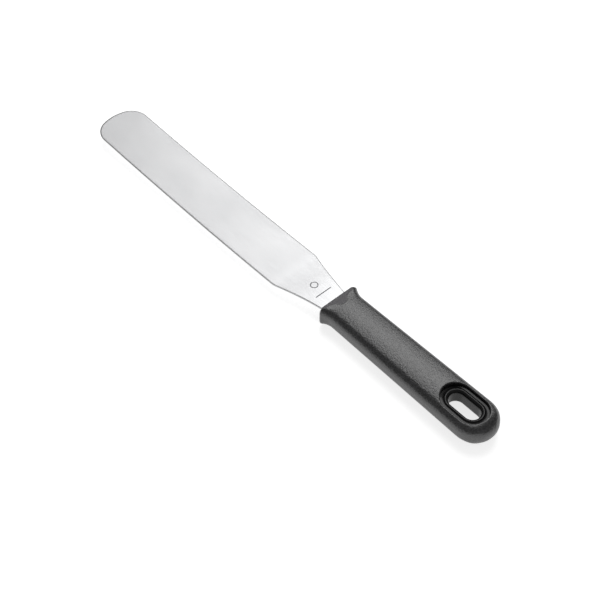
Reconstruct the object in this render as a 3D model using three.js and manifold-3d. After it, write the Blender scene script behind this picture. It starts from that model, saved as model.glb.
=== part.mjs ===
// Palette knife: a one-piece spring-steel blade whose tang is held in a two-part moulded handle.
// Millimetres. +X runs from the butt of the handle to the tip of the blade, +Z is up.
// The origin is under the middle of the knife, at the level of the lowest point of the handle.
import * as THREE from "three";
import { mergeVertices } from "three/addons/utils/BufferGeometryUtils.js";
import Module from "manifold-3d";

const wasm = await Module();
wasm.setup();
const { clamp, lerp, smoothstep } = THREE.MathUtils;

// ---- driving dimensions --------------------------------------------------------------------
const BLADE_LENGTH = 200; // from the front of the collar to the tip
const BLADE_HALF_WIDTH = 16;
const BLADE_THICKNESS = 1.2; // at the neck and along the tang
const TIP_THICKNESS = 0.9;
const BLADE_BOW = 2.3; // how far the middle of the blade dips below its ends
const TIP_RADIUS = 26; // the shallow arc across the end
const TIP_CORNER_RADIUS = 12; // the arc that joins it to each edge
const NECK_LENGTH = 34; // collar to shoulder
const NECK_HALF_WIDTH = 8.2; // where the steel leaves the collar
const NECK_FLARE = 0.158; // slope of the neck's edge at the collar
const NECK_CURVE = 0.0021; // how that slope grows towards the shoulder

const TANG_LENGTH = 72;
const TANG_END_HALF_WIDTH = 5;
const KEY_HOLE_RADIUS = 2.6; // holes that the moulding flows through
const KEY_HOLES = [-25, -55]; // places along the tang

const HANDLE_LENGTH = 116;
const COLLAR_HALF_WIDTH = 13.5;
const COLLAR_HALF_HEIGHT = 6.3;
const COLLAR_CORNER = 3.6;
const COLLAR_CHAMFER = 0.5; // broken edge above and below the collar's front face
const COLLAR_ROUNDING = 1.7; // rounding at the collar's two sides, seen from above
const COLLAR_FLARE = 7; // length over which the collar sweeps into the grip
const THUMB_FLAT_HEIGHT = 6.1; // level of the thumb flats at the collar's face
const THUMB_FLAT_SLOPE = 0.11; // they rise gently towards the butt
const WAIST_HALF_WIDTH = 11.5; // just behind the collar
const WAIST_HALF_HEIGHT = 6.8;
const WAIST_CORNER = 4.8;
const HEEL_HALF_WIDTH = 13; // widest place, beside the hanging slot
const HEEL_HALF_HEIGHT = 7;
const HEEL_CORNER = 5.2;
const HEEL_X = -102;
const BUTT_LENGTH = HANDLE_LENGTH + HEEL_X;
const COLLAR_WALL = 2.6; // skin between the collar's face and the core
const CROWN = 0.5; // how much the top and bottom of the grip are arched

const SLOT_X = -95.4; // centre of the hanging slot
const RIM_STRAIGHT = 5.3; // half the straight part of the oval window in the grip
const RIM_RADIUS = 9.2;
const SLOT_STRAIGHT = 5.1; // half the straight part of the slot through the core
const SLOT_RADIUS = 4.6;

const CORE_HALF_HEIGHT = 4.2; // level of the ledge inside the window
const SKIN = 2.6; // how far the core lies inside the grip's surface
const CORE_EDGE = 1.3; // rounded edge of the core, and of the slot through it
const GAP = 0.3; // clearance between neighbouring pieces
const SECTION_STEPS = 6; // divisions of each curve in the grip's section

// ---- placing the knife on its origin ---------------------------------------------------------
const ORIGIN_X = (HANDLE_LENGTH - BLADE_LENGTH) / 2;
const ORIGIN_Z = HEEL_HALF_HEIGHT;

// ---- solids: joins and cuts ------------------------------------------------------------------
function toSolid(geometry) {
  geometry.deleteAttribute("normal");
  geometry.deleteAttribute("uv");
  const merged = mergeVertices(geometry, 1e-4);
  const mesh = new wasm.Mesh({
    numProp: 3,
    vertProperties: new Float32Array(merged.attributes.position.array),
    triVerts: new Uint32Array(merged.index.array),
  });
  return new wasm.Manifold(mesh);
}

function toGeometry(solid) {
  const mesh = solid.getMesh();
  const geometry = new THREE.BufferGeometry();
  geometry.setAttribute("position", new THREE.BufferAttribute(mesh.vertProperties, 3));
  geometry.setIndex(new THREE.BufferAttribute(mesh.triVerts, 1));
  geometry.computeVertexNormals();
  return geometry;
}

function namedMesh(name, solid, material) {
  const mesh = new THREE.Mesh(toGeometry(solid), material);
  mesh.name = name;
  return mesh;
}

// ---- outlines --------------------------------------------------------------------------------
// A slot outline: two half circles joined by straight sides, long along X.
function stadium(centreX, halfStraight, radius) {
  const outline = new THREE.Shape();
  outline.absarc(centreX + halfStraight, 0, radius, -Math.PI / 2, Math.PI / 2, false);
  outline.absarc(centreX - halfStraight, 0, radius, Math.PI / 2, (3 * Math.PI) / 2, false);
  outline.closePath();
  return outline;
}

function bladeHalfWidth(x) {
  const cornerOffset = BLADE_HALF_WIDTH - TIP_CORNER_RADIUS;
  const tipCentre = BLADE_LENGTH - TIP_RADIUS;
  const reach = TIP_RADIUS - TIP_CORNER_RADIUS;
  const cornerX = tipCentre + Math.sqrt(reach ** 2 - cornerOffset ** 2);
  const tangentX = tipCentre + ((cornerX - tipCentre) * TIP_RADIUS) / reach;
  if (x > tangentX) return Math.sqrt(Math.max(TIP_RADIUS ** 2 - (x - tipCentre) ** 2, 0));
  if (x > cornerX) return cornerOffset + Math.sqrt(TIP_CORNER_RADIUS ** 2 - (x - cornerX) ** 2);
  if (x >= 0) {
    const neck = NECK_HALF_WIDTH + NECK_FLARE * x + NECK_CURVE * x ** 2;
    return Math.min(neck, BLADE_HALF_WIDTH);
  }
  return lerp(NECK_HALF_WIDTH, TANG_END_HALF_WIDTH, -x / TANG_LENGTH);
}

// Height of the blade's mid-surface: level in the handle, then one shallow arc to the tip.
function bladeRise(x) {
  const fromMiddle = (2 * x) / BLADE_LENGTH - 1;
  return -BLADE_BOW * (1 - fromMiddle ** 2) * smoothstep(x, 0, NECK_LENGTH);
}

function bladeThickness(x) {
  return lerp(BLADE_THICKNESS, TIP_THICKNESS, Math.max(x, 0) / BLADE_LENGTH);
}

// Places along X from one length to another; ease bunches them towards the far end.
function stations(from, to, count, ease = (part) => part) {
  return Array.from({ length: count }, (_, i) => lerp(from, to, ease((i + 1) / count)));
}

// A closing end is drawn with a quarter sine, stopped just short of its last point.
const closing = (part) => Math.sin(0.98 * part * (Math.PI / 2));

function bladeStations() {
  const edgeEnd = BLADE_LENGTH - TIP_CORNER_RADIUS;
  return [
    -TANG_LENGTH,
    ...stations(-TANG_LENGTH, 0, 4),
    ...stations(0, NECK_LENGTH, 8),
    ...stations(NECK_LENGTH, edgeEnd, 20),
    ...stations(edgeEnd, BLADE_LENGTH, 16, closing),
  ];
}

// ---- blade -----------------------------------------------------------------------------------
function bladeSolid() {
  const places = bladeStations();
  const last = places.length - 1;
  const geometry = new THREE.BoxGeometry(last, 2, 1, last, 6, 1);
  const position = geometry.attributes.position;
  for (let i = 0; i < position.count; i += 1) {
    const x = places[Math.round(position.getX(i) + last / 2)];
    const y = position.getY(i) * bladeHalfWidth(x);
    const z = position.getZ(i) * bladeThickness(x) + bladeRise(x);
    position.setXYZ(i, x, y, z);
  }
  let solid = toSolid(geometry);
  for (const x of KEY_HOLES) solid = solid.subtract(post(x, KEY_HOLE_RADIUS));
  return solid;
}

// A round post across the tang, used for the key holes and for the plastic that fills them.
function post(x, radius) {
  const geometry = new THREE.CylinderGeometry(radius, radius, 4 * BLADE_THICKNESS, 24);
  geometry.rotateX(Math.PI / 2);
  geometry.translate(x, 0, 0);
  return toSolid(geometry);
}

// ---- handle ----------------------------------------------------------------------------------
// The grip's section at x: half width and height, corner radius, crown and height of the flats.
function gripSection(x) {
  const along = clamp(x / HEEL_X, 0, 1);
  const flare = clamp(1 + (x + COLLAR_ROUNDING) / COLLAR_FLARE, 0, 1) ** 2;
  const blend = (collar, waist, heel) => lerp(lerp(waist, heel, along), collar, flare);
  const broken = COLLAR_CHAMFER * clamp(1 + x / COLLAR_CHAMFER, 0, 1);
  const turned = clamp(1 + x / COLLAR_ROUNDING, 0, 1);
  const rounded = COLLAR_ROUNDING * (1 - Math.sqrt(1 - turned ** 2));
  return {
    halfWidth: blend(COLLAR_HALF_WIDTH, WAIST_HALF_WIDTH, HEEL_HALF_WIDTH) * planTaper(x) - rounded,
    halfHeight: blend(COLLAR_HALF_HEIGHT, WAIST_HALF_HEIGHT, HEEL_HALF_HEIGHT) * buttRoll(x) - broken,
    corner: blend(COLLAR_CORNER, WAIST_CORNER, HEEL_CORNER),
    crown: CROWN * (1 - flare) * buttRoll(x),
    thumbFlat: THUMB_FLAT_HEIGHT - THUMB_FLAT_SLOPE * x - broken,
  };
}

// Behind the heel the plan closes as a half ellipse.
function planTaper(x) {
  const past = Math.max(HEEL_X - x, 0) / BUTT_LENGTH;
  return Math.sqrt(Math.max(1 - past ** 2, 0));
}

// At the very end the top and the bottom roll over to meet each other.
function buttRoll(x) {
  const past = Math.max(HEEL_HALF_HEIGHT - HANDLE_LENGTH - x, 0) / HEEL_HALF_HEIGHT;
  return Math.sqrt(Math.max(1 - past ** 2, 0));
}

// A section's outline, in Y and Z: two crowned faces, two flat sides and four round corners.
function roundedOutline({ halfWidth, halfHeight, corner, crown, thumbFlat = halfHeight }) {
  const radius = Math.min(corner, halfWidth * 0.9, (halfHeight - crown) * 0.9);
  const y = halfWidth - radius;
  const z = halfHeight - crown - radius;
  const outline = new THREE.Shape();
  outline.moveTo(halfWidth, -z);
  outline.quadraticCurveTo(halfWidth, 0, halfWidth, z);
  outline.absarc(y, z, radius, 0, Math.PI / 2, false);
  outline.quadraticCurveTo(0, z + radius + 2 * crown, -y, z + radius);
  outline.absarc(-y, z, radius, Math.PI / 2, Math.PI, false);
  outline.quadraticCurveTo(-halfWidth, 0, -halfWidth, -z);
  outline.absarc(-y, -z, radius, Math.PI, 1.5 * Math.PI, false);
  outline.quadraticCurveTo(0, -z - radius - 2 * crown, y, -z - radius);
  outline.absarc(y, -z, radius, 1.5 * Math.PI, 2 * Math.PI, false);
  const drawn = outline.curves.filter((curve) => curve.isEllipseCurve || curve.isQuadraticBezierCurve);
  const points = drawn.flatMap((curve) => curve.getPoints(SECTION_STEPS).slice(0, -1));
  for (const point of points) point.y = clamp(point.y, -thumbFlat, thumbFlat);
  return points;
}

// A cylinder's rings, each laid on the outline of its own station. places run from front to back.
function loft(places, outlineAt) {
  const outlines = places.map(outlineAt);
  const around = outlines[0].length;
  const last = places.length - 1;
  const geometry = new THREE.CylinderGeometry(1, 1, last, around, last);
  const position = geometry.attributes.position;
  for (let i = 0; i < position.count; i += 1) {
    const ring = Math.round(last / 2 - position.getY(i));
    const turn = Math.atan2(position.getX(i), position.getZ(i)) / (2 * Math.PI);
    const point = outlines[ring][Math.round(turn * around + around) % around];
    const spread = Math.hypot(position.getX(i), position.getZ(i));
    position.setXYZ(i, places[ring], point.x * spread, point.y * spread);
  }
  return toSolid(geometry);
}

function gripBody() {
  const places = [
    0,
    -0.12,
    -COLLAR_CHAMFER,
    -1.0,
    -COLLAR_ROUNDING,
    ...stations(-COLLAR_ROUNDING, -COLLAR_ROUNDING - COLLAR_FLARE, 6),
    ...stations(-COLLAR_ROUNDING - COLLAR_FLARE, HEEL_X, 12),
    ...stations(HEEL_X, -HANDLE_LENGTH, 14, closing),
  ];
  return loft(places, (x) => roundedOutline(gripSection(x)));
}

// The core's outside: a flat bar with rounded edges. grow makes the same bar a little bigger.
function coreBar(grow) {
  const front = -COLLAR_WALL + grow;
  const back = -HANDLE_LENGTH + SKIN - grow;
  const places = [front, ...stations(front, HEEL_X, 4), ...stations(HEEL_X, back, 12, closing)];
  const roundEnd = (x) => Math.sqrt(1 - (Math.max(HEEL_X - x, 0) / (HEEL_X - back)) ** 2);
  return loft(places, (x) => {
    const along = clamp(x / HEEL_X, 0, 1);
    const halfWidth = lerp(WAIST_HALF_WIDTH, HEEL_HALF_WIDTH, along) - SKIN + grow;
    const halfHeight = CORE_HALF_HEIGHT + grow;
    return roundedOutline({ halfWidth: halfWidth * roundEnd(x), halfHeight, corner: CORE_EDGE, crown: 0 });
  });
}

// A straight oval cutter, long enough to pass through the handle.
function ovalCut(halfStraight, radius) {
  const height = 4 * HEEL_HALF_HEIGHT;
  const outline = stadium(SLOT_X, halfStraight, radius);
  const options = { depth: height, bevelEnabled: false, curveSegments: 20 };
  const geometry = new THREE.ExtrudeGeometry(outline, options);
  geometry.translate(0, 0, -height / 2);
  return toSolid(geometry);
}

// The slot's mouth on one face of the core, broken all round. side is 1 above and -1 below.
function mouthCut(side) {
  const geometry = new THREE.ExtrudeGeometry(stadium(SLOT_X, SLOT_STRAIGHT, SLOT_RADIUS), {
    depth: CORE_HALF_HEIGHT,
    bevelThickness: CORE_EDGE,
    bevelSize: CORE_EDGE,
    bevelSegments: 1,
    curveSegments: 20,
  });
  geometry.translate(0, 0, CORE_HALF_HEIGHT);
  if (side < 0) geometry.rotateX(Math.PI);
  return toSolid(geometry);
}

// The room for the tang, open at the collar's face.
function tangPocket() {
  const wide = NECK_HALF_WIDTH + GAP;
  const narrow = TANG_END_HALF_WIDTH + GAP;
  const back = -TANG_LENGTH - GAP;
  const outline = new THREE.Shape();
  outline.moveTo(back, -narrow);
  outline.lineTo(0, -wide);
  outline.lineTo(GAP, -wide);
  outline.lineTo(GAP, wide);
  outline.lineTo(0, wide);
  outline.lineTo(back, narrow);
  outline.closePath();
  const height = BLADE_THICKNESS + 2 * GAP;
  const geometry = new THREE.ExtrudeGeometry(outline, { depth: height, bevelEnabled: false });
  geometry.translate(0, 0, -height / 2);
  return toSolid(geometry);
}

function coreSolid() {
  let solid = coreBar(0).subtract(tangPocket()).subtract(ovalCut(SLOT_STRAIGHT, SLOT_RADIUS));
  for (const side of [1, -1]) solid = solid.subtract(mouthCut(side));
  for (const x of KEY_HOLES) solid = solid.add(post(x, KEY_HOLE_RADIUS - GAP));
  return solid;
}

function gripSolid() {
  const hollow = coreBar(GAP).add(tangPocket());
  return gripBody().subtract(hollow).subtract(ovalCut(RIM_STRAIGHT, RIM_RADIUS));
}

// ---- materials -------------------------------------------------------------------------------
function satinSteel() {
  return new THREE.MeshStandardMaterial({ color: 0xd6d7d9, roughness: 0.32, metalness: 1 });
}

function glossBlackPlastic() {
  return new THREE.MeshStandardMaterial({ color: 0x121214, roughness: 0.3, metalness: 0 });
}

function grainedBlackPlastic() {
  return new THREE.MeshStandardMaterial({ color: 0x28282b, roughness: 0.6, metalness: 0 });
}

// ---- the knife -------------------------------------------------------------------------------
const knife = new THREE.Group();
knife.position.set(ORIGIN_X, 0, ORIGIN_Z);
knife.add(namedMesh("blade", bladeSolid(), satinSteel()));
knife.add(namedMesh("handle_core", coreSolid(), glossBlackPlastic()));
knife.add(namedMesh("handle_grip", gripSolid(), grainedBlackPlastic()));

export default knife;
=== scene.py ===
"""A straight palette knife: one-piece spring-steel blade, moulded core, grained grip.

Pieces are modelled in millimetres from the front face of the collar, with +X towards the tip and
the handle's middle plane at z = 0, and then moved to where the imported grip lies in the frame.
"""

import math

import bmesh
import bpy
from mathutils import Matrix, Vector


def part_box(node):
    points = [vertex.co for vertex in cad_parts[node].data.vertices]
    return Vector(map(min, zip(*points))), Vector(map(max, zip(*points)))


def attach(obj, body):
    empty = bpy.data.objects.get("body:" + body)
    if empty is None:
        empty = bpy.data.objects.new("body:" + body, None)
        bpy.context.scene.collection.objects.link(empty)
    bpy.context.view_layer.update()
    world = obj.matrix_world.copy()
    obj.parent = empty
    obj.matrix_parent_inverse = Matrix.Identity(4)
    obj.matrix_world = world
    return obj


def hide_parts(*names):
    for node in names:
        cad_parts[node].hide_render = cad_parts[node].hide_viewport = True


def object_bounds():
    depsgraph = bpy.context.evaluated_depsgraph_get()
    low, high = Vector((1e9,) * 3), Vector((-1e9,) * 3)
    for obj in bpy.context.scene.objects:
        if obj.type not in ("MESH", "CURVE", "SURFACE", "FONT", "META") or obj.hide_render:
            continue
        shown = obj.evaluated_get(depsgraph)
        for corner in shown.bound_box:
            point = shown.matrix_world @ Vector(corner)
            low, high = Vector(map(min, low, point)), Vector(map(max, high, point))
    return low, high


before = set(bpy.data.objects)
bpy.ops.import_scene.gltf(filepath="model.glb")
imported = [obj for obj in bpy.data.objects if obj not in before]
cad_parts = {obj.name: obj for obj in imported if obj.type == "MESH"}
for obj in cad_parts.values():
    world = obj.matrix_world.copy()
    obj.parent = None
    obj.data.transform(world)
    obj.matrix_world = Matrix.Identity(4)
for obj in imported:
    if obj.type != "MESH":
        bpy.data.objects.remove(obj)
CAD_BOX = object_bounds()

MM = 0.001
GRIP_LOW, GRIP_HIGH = (Vector(corner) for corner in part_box("handle_grip"))
COLLAR = Vector((GRIP_HIGH.x, 0.0, (GRIP_LOW.z + GRIP_HIGH.z) / 2))
TO_FRAME = Matrix.Translation(COLLAR) @ Matrix.Scale(MM, 4)

# ---- sizes, in millimetres -------------------------------------------------------------------
BLADE_LENGTH = 200.0
BLADE_HALF_WIDTH = 16.0
BLADE_THICKNESS = 1.2
TIP_THICKNESS = 0.9
BLADE_BOW = 2.3
TIP_RADIUS = 26.0
TIP_CORNER = 12.0
NECK_LENGTH = 34.0
NECK_HALF_WIDTH = 8.2
NECK_FLARE = 0.158
NECK_CURVE = 0.0021
SHOULDER_SOFTNESS = 0.5
GROUND_EDGE_WIDTH = 0.55
GROUND_EDGE_DROP = 0.19

TANG_LENGTH = 72.0
TANG_END_HALF_WIDTH = 5.0
KEY_HOLE_RADIUS = 2.6
KEY_HOLES = (-25.0, -55.0)
KEY_HOLE_MARGIN = 0.8  # the ring round each hole that is redrawn to meet it

HANDLE_LENGTH = (GRIP_HIGH.x - GRIP_LOW.x) / MM
COLLAR_HALF_WIDTH = 13.5
COLLAR_HALF_HEIGHT = 6.3
COLLAR_CORNER = 3.6
COLLAR_PLAN_ROUNDING = 1.7
COLLAR_EDGE = 0.7
COLLAR_FLARE = 7.0
THUMB_FLAT_HEIGHT = 6.1
THUMB_FLAT_SLOPE = 0.11
THUMB_FLAT_SOFTNESS = 0.12
WAIST_HALF_WIDTH = 11.5
WAIST_HALF_HEIGHT = 6.8
WAIST_CORNER = 4.8
HEEL_HALF_WIDTH = 13.0
HEEL_HALF_HEIGHT = 7.0
HEEL_CORNER = 5.2
HEEL_X = -102.0
CROWN_TILT = math.radians(12.0)  # slope of the crowned face where it meets the rounded corner

SLOT_X = -95.4
SLOT_HALF_STRAIGHT = 5.2
RIM_RADIUS = 9.1
RIM_ROUNDING = 0.75
WALL_STOP = 0.2  # how far above the room the window's upright wall stops
SLOT_RADIUS = 4.6
BEAD_RADIUS = 6.9
BEAD_CREST = 6.3
BEAD_RISE = 0.6
BEAD_FALL = 2.0
WINDOW_FRONT = -77.0
WINDOW_BACK = -112.3

SKIN = 2.6
CORE_HALF_HEIGHT = 4.2
CORE_CORNER = 1.3
GAP = 0.3
FRONT_WALL = 2.6
TANG_ROOM_CORNER = 0.2
MOST_CORNER = 0.92  # of a half size, so that a section keeps some flat as it closes at the butt
MOST_CROWN = 0.3  # of the half height, for the same reason

# ---- how finely the pieces are drawn ---------------------------------------------------------
SIDE_STEPS = 6  # across each flat side
CORNER_STEPS = 14  # round each corner of the section
FACE_STEPS = 20  # across each crowned face
AROUND = 2 * (SIDE_STEPS + FACE_STEPS) + 4 * CORNER_STEPS
WINDOW_COLUMN = 6  # how far up the corner the window's patch begins
HEEL_ROWS = 26  # from the window's front edge to the heel
WINDOW_ROWS = 16  # from the heel to the window's back edge
BUTT_ROWS = 16  # from there to the end
LAST_TURN = 0.998 * math.pi / 2  # just short of the end, which a pole closes
PATCH_RINGS = 12  # between the patch's outline and the window's rim
ROUNDING_RINGS = 7  # round the window's rim
BEAD_STEPS = 12  # from the bead's crest down into the slot
TANG_ROWS = 72  # from the tang's end to the collar
BLADE_ROWS = 180  # from the collar to where the tip's rows begin
TIP_ROWS = 16  # from there to the rounded end


def lerp(a, b, part):
    return a + (b - a) * part


def clamp(value, low=0.0, high=1.0):
    return min(max(value, low), high)


def smooth(part):
    part = clamp(part)
    return part * part * (3 - 2 * part)


def soft_min(a, b, softness):
    """The smaller of two numbers, with the corner between them rounded off."""
    mix = clamp(0.5 + 0.5 * (b - a) / softness)
    return lerp(b, a, mix) - softness * mix * (1 - mix)


# ---- the grip's and the core's sections ------------------------------------------------------
class Section:
    """One rounded section across the handle: half sizes, corner radius and crown."""

    def __init__(self, x, half_width, half_height, corner, tilt=0.0, thumb_flat=None):
        self.x = x
        self.half_width = half_width
        self.corner = min(corner, MOST_CORNER * half_width, MOST_CORNER * half_height)
        self.tilt = tilt
        self.thumb_flat = thumb_flat
        self.centre_y = self.half_width - self.corner
        self.face_half = self.centre_y + self.corner * math.sin(tilt)
        crown = 0.5 * self.face_half * math.tan(tilt)
        self.crown = min(crown, MOST_CROWN * half_height)
        self.centre_z = half_height - self.crown - self.corner * math.cos(tilt)

    def cut(self, z):
        """Height after the flat by the collar has been taken off."""
        if self.thumb_flat is None:
            return z
        return math.copysign(soft_min(abs(z), self.thumb_flat, THUMB_FLAT_SOFTNESS), z)

    def top(self, y):
        """Height of the upper surface at y."""
        y = min(abs(y), self.half_width)
        if y <= self.face_half:
            share = y / max(self.face_half, 1e-6)
            edge = self.centre_z + self.corner * math.cos(self.tilt)
            return self.cut(edge + self.crown * (1 - share * share))
        over = y - self.centre_y
        return self.cut(self.centre_z + math.sqrt(max(self.corner**2 - over**2, 0.0)))

    def point(self, column):
        """Point number column of AROUND, from the middle of the +Y side over the top."""
        half_turn = AROUND // 2
        if column > half_turn:
            x, y, z = self.point(AROUND - column)
            return x, y, -z
        quarter = half_turn / 2
        side = 1.0 if column <= quarter else -1.0
        step = column if column <= quarter else half_turn - column
        half_side = SIDE_STEPS / 2
        if step <= half_side:
            y = self.half_width
            z = self.centre_z * step / half_side
        elif step <= half_side + CORNER_STEPS:
            turn = (math.pi / 2 - self.tilt) * (step - half_side) / CORNER_STEPS
            y = self.centre_y + self.corner * math.cos(turn)
            z = self.centre_z + self.corner * math.sin(turn)
        else:
            y = self.face_half * (1 - (step - half_side - CORNER_STEPS) / (FACE_STEPS / 2))
            return self.x, side * y, self.top(y)
        return self.x, side * y, self.cut(z)


def butt_plan(x, back=-HANDLE_LENGTH):
    """Share of the width left at x as the plan closes in a half ellipse that ends at back."""
    past = max(HEEL_X - x, 0.0) / (HEEL_X - back)
    return math.sqrt(max(1 - past * past, 0.0))


def butt_roll(x):
    """Share of the height left at x as the butt rolls over."""
    past = max(HEEL_HALF_HEIGHT - HANDLE_LENGTH - x, 0.0) / HEEL_HALF_HEIGHT
    return math.sqrt(max(1 - past * past, 0.0))


def rounded_off(x, radius):
    """How far a rounding of this radius has drawn the surface in, near the front face."""
    part = clamp(1 + x / radius)
    return radius * (1 - math.sqrt(1 - part * part))


def grip_section(x):
    """The grip's outside: a flared collar, a waist, and a heel that rounds off at the butt."""
    along = clamp(x / HEEL_X)
    flare = clamp(1 + (x + COLLAR_PLAN_ROUNDING) / COLLAR_FLARE) ** 2
    broken = rounded_off(x, COLLAR_EDGE)

    def between(collar, waist, heel):
        return lerp(lerp(waist, heel, along), collar, flare)

    return Section(
        x,
        between(COLLAR_HALF_WIDTH, WAIST_HALF_WIDTH, HEEL_HALF_WIDTH) * butt_plan(x)
        - rounded_off(x, COLLAR_PLAN_ROUNDING),
        between(COLLAR_HALF_HEIGHT, WAIST_HALF_HEIGHT, HEEL_HALF_HEIGHT) * butt_roll(x) - broken,
        between(COLLAR_CORNER, WAIST_CORNER, HEEL_CORNER),
        CROWN_TILT * (1 - flare),
        THUMB_FLAT_HEIGHT - THUMB_FLAT_SLOPE * x - broken,
    )


def bar_section(x, grow):
    """The core's bar, or the room for it in the grip when grow is the gap."""
    back = -HANDLE_LENGTH + SKIN - grow
    half_width = lerp(WAIST_HALF_WIDTH, HEEL_HALF_WIDTH, clamp(x / HEEL_X)) - SKIN + grow
    return Section(x, half_width * butt_plan(x, back), CORE_HALF_HEIGHT + grow, CORE_CORNER)


def tang_room(x):
    """The slit and the pocket that the tang lies in, a gap larger than the tang all round."""
    half_width = lerp(NECK_HALF_WIDTH, TANG_END_HALF_WIDTH, clamp(-x / TANG_LENGTH)) + GAP
    return Section(x, half_width, BLADE_THICKNESS / 2 + GAP, TANG_ROOM_CORNER)


def grip_surface(x, y):
    return grip_section(x).top(y)


def room_surface(x, y):
    return bar_section(x, GAP).top(y)


def core_surface(x, y):
    return bar_section(x, 0.0).top(y)


# ---- stations along the handle ---------------------------------------------------------------
def spread(start, end, count):
    """count places from start to end, the first left out."""
    return [lerp(start, end, (step + 1) / count) for step in range(count)]


def butt_places(back):
    """Places from the window's front edge round the butt, crowding towards its very end."""
    reach = HEEL_X - back
    turn = math.asin((HEEL_X - WINDOW_BACK) / reach)
    turns = spread(turn, LAST_TURN, BUTT_ROWS)
    heel = spread(WINDOW_FRONT, HEEL_X, HEEL_ROWS)
    window_end = spread(HEEL_X, WINDOW_BACK, WINDOW_ROWS)
    return [WINDOW_FRONT, *heel, *window_end, *(HEEL_X - reach * math.sin(turn) for turn in turns)]


class Between:
    """A ring partway from one section to another, for flat ends and straight walls."""

    def __init__(self, start, end, part):
        self.start = start
        self.end = end
        self.part = part
        self.x = lerp(start.x, end.x, part)

    def point(self, column):
        return Vector(self.start.point(column)).lerp(Vector(self.end.point(column)), self.part)


def across(start, end, count):
    """Rings from start to end, neither of them repeated."""
    return [Between(start, end, (step + 1) / (count + 1)) for step in range(count)]


# ---- building in bmesh -----------------------------------------------------------------------
def rolled_tube(sections):
    """A grid rolled up round the sections, its seam closed and both ends drawn to a point.

    The faces over the hanging slot are left out, above and below.
    """
    bm = bmesh.new()
    rows = len(sections) - 1
    bmesh.ops.create_grid(bm, x_segments=rows, y_segments=AROUND, size=0.5)
    place = {v: (round((v.co.x + 0.5) * rows), round((v.co.y + 0.5) * AROUND)) for v in bm.verts}
    first_column = SIDE_STEPS // 2 + WINDOW_COLUMN
    last_column = AROUND // 2 - first_column
    cut_faces = []
    for face in bm.faces:
        row = min(place[v][0] for v in face.verts)
        column = min(place[v][1] for v in face.verts)
        along = sorted((sections[row].x, sections[row + 1].x))
        in_window = along[0] >= WINDOW_BACK - 1e-6 and along[1] <= WINDOW_FRONT + 1e-6
        upper = first_column <= column < last_column
        lower = first_column <= AROUND - 1 - column < last_column
        if in_window and (upper or lower):
            cut_faces.append(face)
    for v, (row, column) in place.items():
        v.co = sections[row].point(column % AROUND)
    bmesh.ops.delete(bm, geom=cut_faces, context="FACES")
    poles = []
    for row in (0, rows):
        ring = [v for v, (own_row, _) in place.items() if v.is_valid and own_row == row]
        poles.append((ring, Vector((sections[row].x, 0, 0))))
    for ring, pole in poles:
        bmesh.ops.pointmerge(bm, verts=ring, merge_co=pole)
    bmesh.ops.remove_doubles(bm, verts=bm.verts[:], dist=1e-5)
    return bm


def window_loops(bm):
    """The open loops round the slot, from the lowest to the highest."""
    loops = []
    waiting = {e for e in bm.edges if e.is_boundary}
    while waiting:
        loop = [waiting.pop()]
        for edge in loop:
            for v in edge.verts:
                for other in v.link_edges:
                    if other in waiting:
                        waiting.remove(other)
                        loop.append(other)
        loops.append(loop)
    return sorted(loops, key=lambda loop: sum(v.co.z for e in loop for v in e.verts) / len(loop))


def push_ring(bm, edges, move):
    """Extrudes open edges, moves each new vertex and gives the new open edges."""
    made = bmesh.ops.extrude_edge_only(bm, edges=edges)["geom"]
    for v in (item for item in made if isinstance(item, bmesh.types.BMVert)):
        v.co = move(v.co)
    return [e for e in made if isinstance(e, bmesh.types.BMEdge) and e.is_boundary]


def from_slot(co):
    """The nearest point of the slot's middle line, the way out from it in plan, and how far."""
    x = clamp(co.x, SLOT_X - SLOT_HALF_STRAIGHT, SLOT_X + SLOT_HALF_STRAIGHT)
    away = Vector((co.x - x, co.y))
    return Vector((x, 0.0)), away.normalized(), away.length


def draw_in(bm, loop, side, radius, height, rings):
    """Rings that run over a surface from a patch's outline to an oval of this radius."""
    for ring in range(rings):
        part = 1 / (rings - ring)

        def move(co):
            nearest, away, distance = from_slot(co)
            plan = nearest + away * lerp(distance, radius, part)
            return Vector((plan.x, plan.y, side * height(plan.x, plan.y)))

        loop = push_ring(bm, loop, move)
    return loop


def roll_over(bm, loop, side, radius, rounding, height):
    """A rounded rim that turns from the surface down into an oval wall of this radius."""
    for ring in range(ROUNDING_RINGS):
        turn = math.pi / 2 * (ring + 1) / ROUNDING_RINGS
        distance = radius + rounding * (1 - math.sin(turn))
        drop = rounding * (1 - math.cos(turn))

        def move(co):
            nearest, away, _ = from_slot(co)
            plan = nearest + away * distance
            return Vector((plan.x, plan.y, side * (height(plan.x, plan.y) - drop)))

        loop = push_ring(bm, loop, move)
    return loop


def drop_wall(bm, loop, z, rings):
    """An upright wall from the open loop to the level z."""
    for ring in range(rings):
        part = 1 / (rings - ring)
        loop = push_ring(bm, loop, lambda co: Vector((co.x, co.y, lerp(co.z, z, part))))
    return loop


def finish_piece(name, bm, material, node):
    """Puts a finished bmesh in the frame as a smooth-shaded piece that stands for a CAD node."""
    bmesh.ops.remove_doubles(bm, verts=bm.verts[:], dist=1e-4)
    bmesh.ops.dissolve_degenerate(bm, edges=bm.edges[:], dist=1e-5)
    bmesh.ops.recalc_face_normals(bm, faces=bm.faces[:])
    bmesh.ops.transform(bm, matrix=TO_FRAME, verts=bm.verts[:])
    for face in bm.faces:
        face.smooth = True
    mesh = bpy.data.meshes.new(name)
    bm.to_mesh(mesh)
    bm.free()
    piece = bpy.data.objects.new(name, mesh)
    bpy.context.collection.objects.link(piece)
    mesh.materials.append(material)
    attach(piece, "root")
    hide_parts(node)


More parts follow.
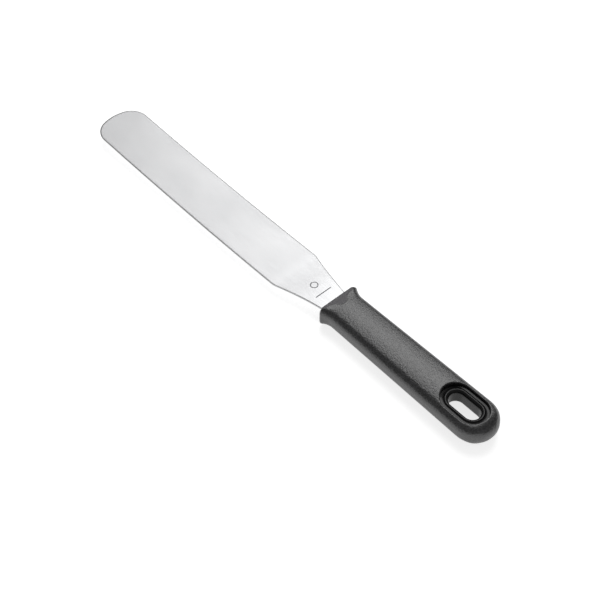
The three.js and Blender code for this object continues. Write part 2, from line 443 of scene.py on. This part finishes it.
# ---- grip ------------------------------------------------------------------------------------
def grip_mesh():
    """The grip as one closed wall: outside, front face, blade slit and the room for the core."""
    outside = [grip_section(x) for x in reversed(butt_places(-HANDLE_LENGTH))]
    outside += [grip_section(x) for x in spread(WINDOW_FRONT, -2 * COLLAR_FLARE, 30)]
    outside += [grip_section(x) for x in spread(-2 * COLLAR_FLARE, -COLLAR_PLAN_ROUNDING, 34)]
    edge = [COLLAR_PLAN_ROUNDING * (math.sin(turn) - 1) for turn in spread(0, math.pi / 2, 14)]
    outside += [grip_section(x) for x in edge]
    mouth = tang_room(0.0)
    inner_mouth = tang_room(-FRONT_WALL + GAP)
    slit = [*across(outside[-1], mouth, 5), mouth, *across(mouth, inner_mouth, 2), inner_mouth]
    room_front = bar_section(-FRONT_WALL + GAP, GAP)
    room_back = -HANDLE_LENGTH + SKIN - GAP
    inside = [*across(inner_mouth, room_front, 2), room_front]
    inside += [bar_section(x, GAP) for x in spread(room_front.x, WINDOW_FRONT, 30)[:-1]]
    inside += [bar_section(x, GAP) for x in butt_places(room_back)]
    bm = rolled_tube([*outside, *slit, *inside])

    into_the_room = CORE_HALF_HEIGHT + GAP + WALL_STOP
    loops = window_loops(bm)
    for side, outer, inner in ((1, loops[3], loops[2]), (-1, loops[0], loops[1])):
        outer = draw_in(bm, outer, side, RIM_RADIUS + RIM_ROUNDING, grip_surface, PATCH_RINGS)
        outer = roll_over(bm, outer, side, RIM_RADIUS, RIM_ROUNDING, grip_surface)
        outer = drop_wall(bm, outer, side * into_the_room, 4)
        inner = draw_in(bm, inner, side, RIM_RADIUS, room_surface, 3)
        bmesh.ops.bridge_loops(bm, edges=outer + inner)
    return bm


# ---- core ------------------------------------------------------------------------------------
def bead_profile():
    """(radius, height) steps over the bead round the slot: up from the ledge, over and down."""
    steps = [(BEAD_RADIUS - 0.12, 0.3 * BEAD_RISE), (BEAD_RADIUS - 0.28, 0.75 * BEAD_RISE)]
    for turn in (0.0, *spread(0, math.pi / 2, BEAD_STEPS)):
        radius = lerp(BEAD_CREST, SLOT_RADIUS, math.sin(turn))
        steps.append((radius, BEAD_RISE - BEAD_FALL * (1 - math.cos(turn))))
    return steps


def core_mesh():
    """The core as one closed wall: bar, pocket for the tang, and the beaded hanging slot."""
    back = -HANDLE_LENGTH + SKIN
    bar = [bar_section(x, 0.0) for x in reversed(butt_places(back))]
    bar += [bar_section(x, 0.0) for x in spread(WINDOW_FRONT, -FRONT_WALL, 30)]
    mouth = tang_room(-FRONT_WALL)
    end = tang_room(-TANG_LENGTH - GAP)
    middle = Section(end.x, 0.2, 0.02, 0.01)
    pocket = [*across(bar[-1], mouth, 2), mouth, *across(mouth, end, 20), end, middle]
    bm = rolled_tube([*bar, *pocket])

    loops = window_loops(bm)
    for side, loop in ((1, loops[1]), (-1, loops[0])):
        loop = draw_in(bm, loop, side, BEAD_RADIUS, core_surface, 4)
        for radius, rise in bead_profile():
            loop = draw_in(bm, loop, side, radius, lambda x, y: CORE_HALF_HEIGHT + rise, 1)
        drop_wall(bm, loop, 0.0, 3)
    return bm


# ---- blade -----------------------------------------------------------------------------------
TIP_CENTRE = BLADE_LENGTH - TIP_RADIUS
CORNER_Y = BLADE_HALF_WIDTH - TIP_CORNER
CORNER_X = TIP_CENTRE + math.sqrt((TIP_RADIUS - TIP_CORNER) ** 2 - CORNER_Y**2)
TIP_TURN = math.atan2(CORNER_Y, CORNER_X - TIP_CENTRE)
TIP_START = CORNER_X - 6
TIP_CROWDING = 0.8  # how much the tip's rows crowd towards the end
SHARP_ANGLE = math.radians(50)


def blade_columns():
    """Distances from the blade's middle line, even inside and closer towards each edge."""
    middle = [TIP_RADIUS * math.sin(TIP_TURN * step / 6) for step in range(7)]
    turns = spread(TIP_TURN, math.pi / 2, 14)[:-1]
    return [*middle, *(CORNER_Y + TIP_CORNER * math.sin(turn) for turn in turns), BLADE_HALF_WIDTH]


def blade_end(y):
    """Where the rounded end of the blade lies at this distance from the middle line."""
    y = abs(y)
    if y <= TIP_RADIUS * math.sin(TIP_TURN):
        return TIP_CENTRE + math.sqrt(TIP_RADIUS**2 - y**2)
    return CORNER_X + math.sqrt(max(TIP_CORNER**2 - (y - CORNER_Y) ** 2, 0.0))


def blade_half_width(x):
    """Half the width at x, with the tang, the flaring neck and the parallel blade in turn."""
    if x < 0:
        return lerp(NECK_HALF_WIDTH, TANG_END_HALF_WIDTH, -x / TANG_LENGTH)
    neck = NECK_HALF_WIDTH + NECK_FLARE * x + NECK_CURVE * x * x
    return soft_min(neck, BLADE_HALF_WIDTH, SHOULDER_SOFTNESS)


def blade_rise(x):
    """Height of the bowed blade's middle plane at x."""
    from_middle = 2 * x / BLADE_LENGTH - 1
    return -BLADE_BOW * (1 - from_middle**2) * smooth(x / NECK_LENGTH)


def from_outline(x, y):
    """Distance in from the blade's outline, ahead of the collar."""
    y = abs(y)
    if x > CORNER_X and y > (x - TIP_CENTRE) * math.tan(TIP_TURN):
        end = TIP_CORNER - math.hypot(x - CORNER_X, y - CORNER_Y)
    else:
        end = TIP_RADIUS - math.hypot(max(x - TIP_CENTRE, 0.0), y * (x > TIP_CENTRE))
    return min(blade_half_width(x) - y, end)


def blade_thickness(x, y):
    """Thinner towards the tip, and ground down a little all along the edge."""
    sheet = lerp(BLADE_THICKNESS, TIP_THICKNESS, clamp(x / BLADE_LENGTH))
    if x < 0:
        return sheet
    return sheet - 2 * GROUND_EDGE_DROP * (1 - clamp(from_outline(x, y) / GROUND_EDGE_WIDTH))


def blade_mesh():
    """A bowed sheet with its key holes, given its tapering thickness and ground edges."""
    columns = blade_columns()
    half = len(columns) - 1
    straight = [*spread(-TANG_LENGTH, 0, TANG_ROWS), *spread(0, TIP_START, BLADE_ROWS)]
    places = [-TANG_LENGTH, *straight]
    rows = len(places) - 1 + TIP_ROWS
    bm = bmesh.new()
    bmesh.ops.create_grid(bm, x_segments=rows, y_segments=2 * half, size=0.5)
    for v in bm.verts:
        row = round((v.co.x + 0.5) * rows)
        column = round((v.co.y + 0.5) * 2 * half) - half
        y = math.copysign(columns[abs(column)], column)
        if row < len(places):
            x = places[row]
            y *= blade_half_width(x) / BLADE_HALF_WIDTH
        else:
            part = (row - len(places) + 1) / TIP_ROWS
            x = lerp(TIP_START, blade_end(y), lerp(part, part * (2 - part), TIP_CROWDING))
        v.co = Vector((x, y, 0.0))
    for hole in KEY_HOLES:
        cut_key_hole(bm, hole)
    solid = bmesh.ops.extrude_face_region(bm, geom=bm.faces[:])["geom"]
    upper = {item for item in solid if isinstance(item, bmesh.types.BMVert)}
    for v in bm.verts:
        side = 0.5 if v in upper else -0.5
        v.co.z = blade_rise(v.co.x) + side * blade_thickness(v.co.x, v.co.y)
    bmesh.ops.recalc_face_normals(bm, faces=bm.faces[:])
    for edge in bm.edges:
        edge.smooth = edge.calc_face_angle() < SHARP_ANGLE
    return bm


def cut_key_hole(bm, x):
    """Takes out the faces over a hole in the tang and draws the opening in to a true circle."""
    centre = Vector((x, 0.0, 0.0))
    reach = KEY_HOLE_RADIUS + KEY_HOLE_MARGIN
    over = [f for f in bm.faces if (f.calc_center_median() - centre).length < reach]
    edges = {e for f in over for e in f.edges if any(g not in over for g in e.link_faces)}
    bmesh.ops.delete(bm, geom=over, context="FACES")
    push_ring(bm, list(edges), lambda co: centre + (co - centre).normalized() * KEY_HOLE_RADIUS)


# ---- materials -------------------------------------------------------------------------------
STEEL_DARK = (0.465, 0.467, 0.473, 1.0)
STEEL_LIGHT = (0.520, 0.521, 0.526, 1.0)
UNCHANGED = (1.0, 1.0, 1.0, 1.0)
# painted highlight: how much brighter the steel is painted on the neck
NECK_PAINTED_HIGHLIGHT = (1.06, 1.06, 1.06, 1.0)
NECK_HIGHLIGHT_FADE = 5.0  # over which the painted highlight on the neck fades out
ETCHED_GREY = (0.26, 0.26, 0.27, 1.0)
CHARCOAL_DARK = (0.003, 0.003, 0.0032, 1.0)
CHARCOAL_LIGHT = (0.042, 0.042, 0.045, 1.0)
THUMB_FLAT_COLOUR = (0.018, 0.012, 0.021, 1.0)
BLACK_DARK = (0.004, 0.004, 0.004, 1.0)
BLACK_LIGHT = (0.009, 0.009, 0.010, 1.0)

RING_X = 18.0
RING_RADIUS = 2.1
RING_HALF_LINE = 0.28
BAR_X = 10.5
BAR_HALF_LENGTH = 5.5
BAR_HALF_LINE = 0.3


class Finish:
    """A procedural material whose patterns are laid out in millimetres from the collar."""

    def __init__(self, name, metallic=0.0, specular=0.5):
        self.material = bpy.data.materials.new(name)
        self.material.use_nodes = True
        self.tree = self.material.node_tree
        self.surface = self.tree.nodes["Principled BSDF"].inputs
        self.surface["Metallic"].default_value = metallic
        self.surface["Specular IOR Level"].default_value = specular
        place = self.node("ShaderNodeTexCoord", {}).outputs["Object"]
        self.millimetres = self.mapped(place, (1 / MM, 1 / MM, 1 / MM), -COLLAR / MM)
        self.x, self.y, self.z = self.node("ShaderNodeSeparateXYZ", {0: self.millimetres}).outputs

    def node(self, kind, inputs, **settings):
        """Adds a node with these settings and fills its inputs, given by name or number."""
        node = self.tree.nodes.new(kind)
        for name, value in settings.items():
            setattr(node, name, value)
        for name, value in inputs.items():
            self.fill(node.inputs[name], value)
        return node

    def fill(self, socket, value):
        """Links another node's output to a socket, or sets the socket to a constant."""
        if isinstance(value, bpy.types.NodeSocket):
            self.tree.links.new(value, socket)
        else:
            socket.default_value = value

    def mapped(self, vector, scale, shift=(0, 0, 0)):
        inputs = {"Vector": vector, "Scale": scale, "Location": shift}
        return self.node("ShaderNodeMapping", inputs).outputs["Vector"]

    def noise(self, size, stretch=(1, 1, 1), detail=2.0, rough=0.5):
        """Noise whose grains are about size millimetres across, stretched by the factors given."""
        scale = tuple(1 / factor for factor in stretch)
        place = self.mapped(self.millimetres, scale)
        inputs = {"Vector": place, "Scale": 1 / size, "Detail": detail, "Roughness": rough}
        return self.node("ShaderNodeTexNoise", inputs).outputs["Fac"]

    def ramp(self, value, low, high, start, end):
        """start where value is low or less, end where it is high or more, even between."""
        inputs = {"Value": value, "From Min": low, "From Max": high, "To Min": start, "To Max": end}
        return self.node("ShaderNodeMapRange", inputs).outputs["Result"]

    def calculate(self, operation, first, second=0.0):
        inputs = {0: first, 1: second}
        return self.node("ShaderNodeMath", inputs, operation=operation).outputs["Value"]

    def weighted(self, first, share, second):
        """A sum of two patterns, with this share of the first and the rest of the second."""
        most = self.calculate("MULTIPLY", first, share)
        rest = self.calculate("MULTIPLY", second, 1 - share)
        return self.calculate("ADD", most, rest)

    def line(self, distance, half_line):
        """1 on a line along which distance is 0, and 0 away from it."""
        away = self.calculate("ABSOLUTE", distance)
        return self.ramp(away, 0.8 * half_line, 1.2 * half_line, 1, 0)

    def mix(self, factor, start, end, how="MIX"):
        """The colour start where factor is 0 and the colour end where it is 1."""
        inputs = {"Factor": factor, "A": start, "B": end}
        node = self.node("ShaderNodeMix", inputs, data_type="RGBA", blend_type=how)
        return node.outputs["Result"]

    def cover(self, colour, roughness, bumps):
        """Gives the surface its colour, roughness and (height, depth in millimetres) bumps."""
        self.fill(self.surface["Base Color"], colour)
        self.fill(self.surface["Roughness"], roughness)
        normal = None
        for height, depth in bumps:
            inputs = {"Strength": 1.0, "Distance": depth * MM, "Height": height}
            if normal is not None:
                inputs["Normal"] = normal
            normal = self.node("ShaderNodeBump", inputs).outputs["Normal"]
        self.fill(self.surface["Normal"], normal)
        return self.material


def satin_steel():
    """Satin stainless: fine grinding lines along the blade, soft clouding, a plain etched mark and a
    painted highlight on the neck.
    """
    finish = Finish("satin_spring_steel", metallic=1.0)
    lines = finish.noise(0.22, stretch=(90, 1, 1), detail=3.0)
    clouds = finish.noise(26, stretch=(1.6, 1, 1))
    shade = finish.ramp(finish.weighted(lines, 0.35, clouds), 0.35, 0.65, 0, 1)
    ground = finish.mix(shade, STEEL_DARK, STEEL_LIGHT)
    # painted highlight: the steel is painted brighter over the neck and fades back to its own tone just
    # past the shoulder
    neck_highlight_share = finish.ramp(finish.x, NECK_LENGTH, NECK_LENGTH + NECK_HIGHLIGHT_FADE, 1, 0)
    lift = finish.mix(neck_highlight_share, UNCHANGED, NECK_PAINTED_HIGHLIGHT)
    steel = finish.mix(1.0, ground, lift, how="MULTIPLY")
    etched = etched_mark(finish)
    gloss = finish.ramp(lines, 0.3, 0.7, 0.38, 0.46)
    roughness = finish.calculate("ADD", gloss, finish.calculate("MULTIPLY", etched, 0.25))
    sunk = finish.calculate("MULTIPLY", etched, -1.0)
    return finish.cover(finish.mix(etched, steel, ETCHED_GREY), roughness, [(lines, 0.004), (sunk, 0.02)])


def etched_mark(finish):
    """A plain ring and a bar on the upper face of the neck, as a mask from 0 to 1."""
    along = finish.calculate("POWER", finish.calculate("SUBTRACT", finish.x, RING_X), 2.0)
    sideways = finish.calculate("POWER", finish.y, 2.0)
    from_centre = finish.calculate("SQRT", finish.calculate("ADD", along, sideways))
    ring = finish.line(finish.calculate("SUBTRACT", from_centre, RING_RADIUS), RING_HALF_LINE)
    bar_line = finish.line(finish.calculate("SUBTRACT", finish.x, BAR_X), BAR_HALF_LINE)
    from_middle = finish.calculate("ABSOLUTE", finish.y)
    bar_length = finish.ramp(from_middle, BAR_HALF_LENGTH - 0.1, BAR_HALF_LENGTH, 1, 0)
    bar = finish.calculate("MULTIPLY", bar_line, bar_length)
    upper_face = finish.ramp(finish.z, -0.3, 0.1, 0, 1)
    return finish.calculate("MULTIPLY", finish.calculate("MAXIMUM", ring, bar), upper_face)


def grained_plastic():
    """Charcoal moulded plastic: fine spark-eroded grain, and calmer flats for the thumb."""
    finish = Finish("grained_charcoal_plastic", specular=1.0)
    grain = finish.noise(0.8, rough=0.6)
    pores = finish.noise(1.5)
    clouds = finish.noise(14)
    flat = thumb_flat_mask(finish)
    speckle = finish.ramp(finish.weighted(grain, 0.8, clouds), 0.38, 0.66, 0, 1)
    grained = finish.mix(speckle, CHARCOAL_DARK, CHARCOAL_LIGHT)
    gloss = finish.ramp(grain, 0.3, 0.7, 0.28, 0.42)
    roughness = finish.calculate("ADD", gloss, finish.calculate("MULTIPLY", flat, 0.14))
    calm = finish.ramp(flat, 0, 1, 1, 0.3)
    pitted = finish.calculate("MULTIPLY", pores, calm)
    rough = finish.calculate("MULTIPLY", grain, calm)
    colour = finish.mix(flat, grained, THUMB_FLAT_COLOUR)
    return finish.cover(colour, roughness, [(pitted, 0.12), (rough, 0.14)])


def thumb_flat_mask(finish):
    """1 on the thumb flats above and below, behind the collar's face, and 0 on the rest.

    It fades over the last few hundredths of a millimetre below the plane of each flat.
    """
    slope = finish.calculate("MULTIPLY", finish.x, THUMB_FLAT_SLOPE)
    level = finish.calculate("ADD", finish.calculate("ABSOLUTE", finish.z), slope)
    return finish.ramp(level, THUMB_FLAT_HEIGHT - 0.09, THUMB_FLAT_HEIGHT - 0.04, 0, 1)


def smooth_plastic():
    """The core's bare black plastic, smooth from a polished mould with faint flow marks."""
    finish = Finish("smooth_black_plastic", specular=0.35)
    flow = finish.noise(5, stretch=(3, 1, 1))
    colour = finish.mix(finish.ramp(flow, 0.3, 0.7, 0, 1), BLACK_DARK, BLACK_LIGHT)
    return finish.cover(colour, finish.ramp(flow, 0.3, 0.7, 0.24, 0.34), [(finish.noise(0.5), 0.006)])


# ---- pieces ----------------------------------------------------------------------------------
finish_piece("blade_steel", blade_mesh(), satin_steel(), "blade")
finish_piece("handle_core_moulding", core_mesh(), smooth_plastic(), "handle_core")
finish_piece("handle_grip_moulding", grip_mesh(), grained_plastic(), "handle_grip")


# ---- stage, light and camera -----------------------------------------------------------------
FLOOR_SIZE = 12.0  # metres, as are all lengths in this section but the lens's
FLOOR_DROP = 0.0005
WHITE = (1.0, 1.0, 1.0, 1.0)
CAMERA_FROM_COLLAR = Vector((-0.35456, 0.34624, 0.59264))
CAMERA_LOOKS_DOWN = math.radians(49.966)
CAMERA_TURN = math.radians(227.97)
CAMERA_LENS = 85.43  # millimetres, on a sensor 36 mm wide


def add_floor():
    """A pale floor just below the handle, with a little light of its own so that it stays white."""
    bpy.ops.mesh.primitive_plane_add(size=FLOOR_SIZE, location=(0, 0, CAD_BOX[0][2] - FLOOR_DROP))
    floor = bpy.context.object
    floor.name = "pale_floor"
    paint = bpy.data.materials.new("pale_floor_paint")
    paint.use_nodes = True
    surface = paint.node_tree.nodes["Principled BSDF"].inputs
    surface["Base Color"].default_value = (0.8, 0.8, 0.8, 1.0)
    surface["Roughness"].default_value = 1.0
    surface["Specular IOR Level"].default_value = 0.0
    surface["Emission Color"].default_value = WHITE
    surface["Emission Strength"].default_value = 0.75
    floor.data.materials.append(paint)


def add_panel(name, azimuth, elevation, distance, width, height, power):
    """A soft rectangular light that faces the knife from a given side."""
    turn, lift = math.radians(azimuth), math.radians(elevation)
    level = math.cos(lift)
    direction = Vector((math.sin(turn) * level, -math.cos(turn) * level, math.sin(lift)))
    light = bpy.data.lights.new(name, "AREA")
    light.shape = "RECTANGLE"
    light.size = width
    light.size_y = height
    light.energy = power
    panel = bpy.data.objects.new(name, light)
    panel.location = direction * distance
    panel.rotation_euler = direction.to_track_quat("Z", "Y").to_euler()
    bpy.context.collection.objects.link(panel)


def add_room_light():
    """A dim white room and one soft panel on the far side, ahead of the tip."""
    room = bpy.data.worlds.new("pale_room")
    room.use_nodes = True
    backdrop = room.node_tree.nodes["Background"].inputs
    backdrop["Color"].default_value = WHITE
    backdrop["Strength"].default_value = 0.2
    bpy.context.scene.world = room
    bpy.context.scene.view_settings.view_transform = "Standard"
    add_panel("far_panel", azimuth=35, elevation=56, distance=1.2, width=0.82, height=0.82, power=6.5)


def add_camera():
    """Looks down at the knife from behind the butt, on the +Y side."""
    lens = bpy.data.cameras.new("camera")
    lens.sensor_width = 36.0
    lens.lens = CAMERA_LENS
    lens.clip_start = 0.01
    lens.clip_end = 50.0
    camera = bpy.data.objects.new("camera", lens)
    camera.location = COLLAR + CAMERA_FROM_COLLAR
    camera.rotation_euler = (math.pi / 2 - CAMERA_LOOKS_DOWN, 0.0, CAMERA_TURN)
    bpy.context.collection.objects.link(camera)
    bpy.context.scene.camera = camera


add_floor()
add_room_light()
add_camera()
